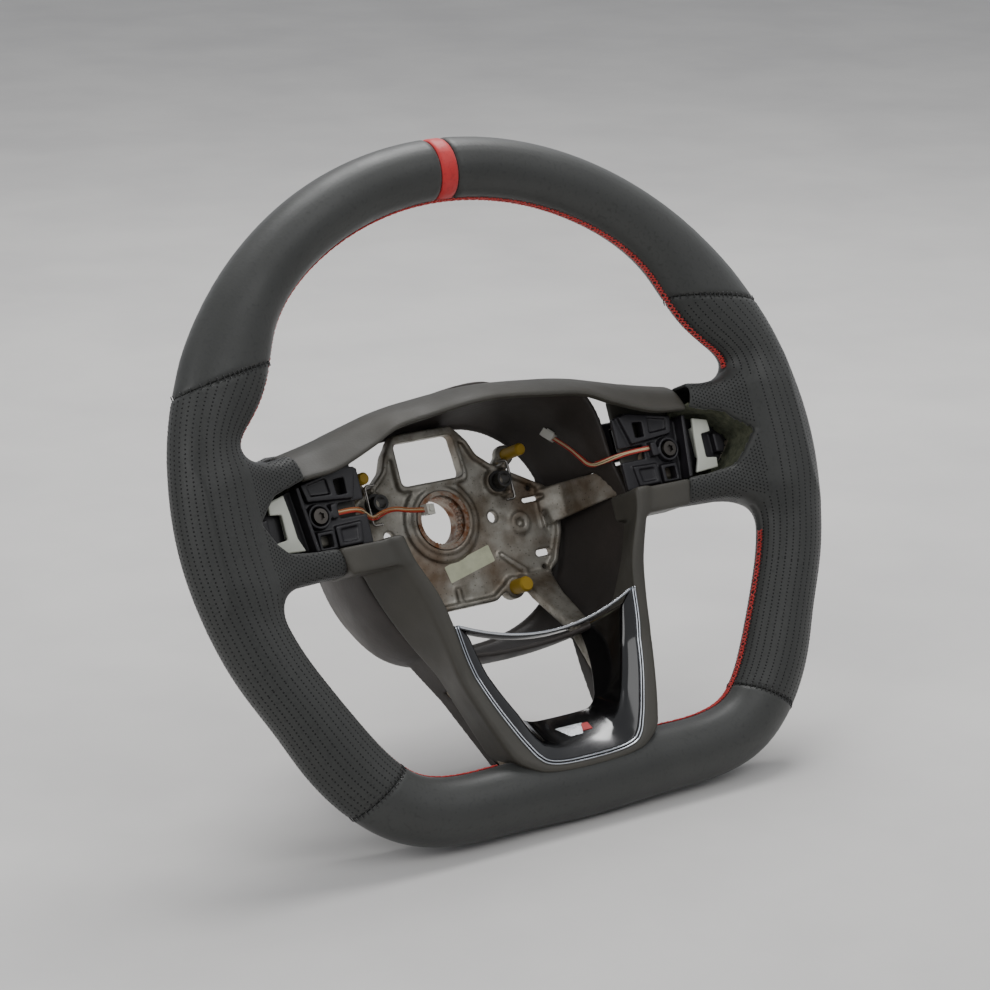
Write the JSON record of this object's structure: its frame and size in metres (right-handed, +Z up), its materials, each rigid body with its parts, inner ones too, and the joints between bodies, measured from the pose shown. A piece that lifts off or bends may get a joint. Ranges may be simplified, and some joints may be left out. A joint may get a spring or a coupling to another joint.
{
  "type": "flat-bottomed steering wheel",
  "caption": "Flat-bottomed leather steering wheel without its airbag and switch modules, with a splined hub, an open hub bowl, shift paddles and loose leads.",
  "frame": {"origin": "on the hub's axis, in the middle of the plain bore behind the splines", "axes": "+X to the driver's right, +Y away from the driver along the hub's axis, +Z up the wheel"},
  "size_m": [0.3748, 0.1035, 0.3489],
  "materials": {
    "cast_magnesium": "as-cast, mottled",
    "hub_steel": "machined, lightly rusted",
    "foam": "moulded polyurethane foam",
    "leather_smooth": "fine-grained, matte",
    "leather_perforated": "perforated, matte",
    "leather_red": "fine-grained, matte",
    "thread_red": "twisted thread",
    "skin": "fine leather-like grain",
    "cover": "fine moulded grain",
    "gloss_black": "piano black",
    "bright_trim": "bright plated",
    "badge_metal": "satin plated",
    "inlay_red": "gloss",
    "carrier_plastic": "satin moulded",
    "bracket_white": "natural nylon",
    "screw_steel": "black-oxide steel",
    "spring_steel": "bright wire",
    "buffer_rubber": "moulded rubber",
    "bush_plastic": "satin moulded",
    "label_film": "blank film",
    "paddle_gloss": "gloss black",
    "switch_body": "satin moulded",
    "plunger_plastic": "natural nylon",
    "lead_insulation": "thin insulation",
    "connector_plastic": "natural nylon"
  },
  "bodies": {
    "wheel": {"airbag_guide_bushes": "bush_plastic", "armature_casting": "cast_magnesium", "badge_inlay": "inlay_red", "badge_plate": "badge_metal", "carrier_screw_left": "screw_steel", "carrier_screw_right": "screw_steel", "connector_left": "connector_plastic", "connector_right": "connector_plastic", "data_label": "label_film", "hub_skin_lower": "skin", "hub_skin_upper": "skin", "hub_spline_insert": "hub_steel", "lead_left": "lead_insulation", "lead_right": "lead_insulation", "leather_bottom": "leather_smooth", "leather_grip_left": "leather_perforated", "leather_grip_right": "leather_perforated", "leather_red_band": "leather_red", "leather_top_left": "leather_smooth", "leather_top_right": "leather_smooth", "lower_trim": "gloss_black", "paddle_bracket_left": "switch_body", "paddle_bracket_right": "switch_body", "paddle_pin_left": "spring_steel", "paddle_pin_right": "spring_steel", "paddle_spring_left": "spring_steel", "paddle_spring_right": "spring_steel", "paddle_switch_left": "switch_body", "paddle_switch_right": "switch_body", "rear_cover": "cover", "rear_cover_screws": "screw_steel", "rim_foam": "foam", "rim_hoop": "cast_magnesium", "rim_stitching": "thread_red", "rubber_buffers": "buffer_rubber", "switch_bracket_left": "bracket_white", "switch_bracket_right": "bracket_white", "switch_carrier_left": "carrier_plastic", "switch_carrier_right": "carrier_plastic", "trim_strip": "bright_trim"},
    "paddle_right": {"paddle_right": "paddle_gloss"},
    "paddle_left": {"paddle_left": "paddle_gloss"},
    "plunger_right": {"switch_plunger_right": "plunger_plastic"},
    "plunger_left": {"switch_plunger_left": "plunger_plastic"},
    "lock_spring_right": {"lock_spring_right": "spring_steel"},
    "lock_spring_left": {"lock_spring_left": "spring_steel"}
  },
  "joints": [
    {"name": "paddle_right_pivot", "type": "hinge", "parent": "wheel", "child": "paddle_right", "pos_m": [0.088, -0.054, 0.019], "axis": [0, 0, -1], "range_deg": [0, 5], "stiffness_Nm_per_rad": 0.6, "springref_deg": -5.73, "deforming": ["paddle_spring_right"]},
    {"name": "plunger_right_slide", "type": "slide", "parent": "wheel", "child": "plunger_right", "axis": [0, -1, 0], "range_m": [0, 0.0013]},
    {"name": "lock_spring_right_slide", "type": "slide", "parent": "wheel", "child": "lock_spring_right", "axis": [1, 0, 0], "range_m": [0, 0.002], "stiffness_N_per_m": 1500, "springref_m": -0.001},
    {"name": "paddle_left_pivot", "type": "hinge", "parent": "wheel", "child": "paddle_left", "pos_m": [-0.088, -0.054, 0.019], "axis": [0, 0, 1], "range_deg": [0, 5], "stiffness_Nm_per_rad": 0.6, "springref_deg": -5.73, "deforming": ["paddle_spring_left"]},
    {"name": "plunger_left_slide", "type": "slide", "parent": "wheel", "child": "plunger_left", "axis": [0, -1, 0], "range_m": [0, 0.0013]},
    {"name": "lock_spring_left_slide", "type": "slide", "parent": "wheel", "child": "lock_spring_left", "axis": [-1, 0, 0], "range_m": [0, 0.002], "stiffness_N_per_m": 1500, "springref_m": -0.001}
  ],
  "couplings": [
    {"joint": "plunger_right_slide", "follows": "paddle_right_pivot", "m_per_rad": 0.014},
    {"joint": "plunger_left_slide", "follows": "paddle_left_pivot", "m_per_rad": 0.014}
  ]
}
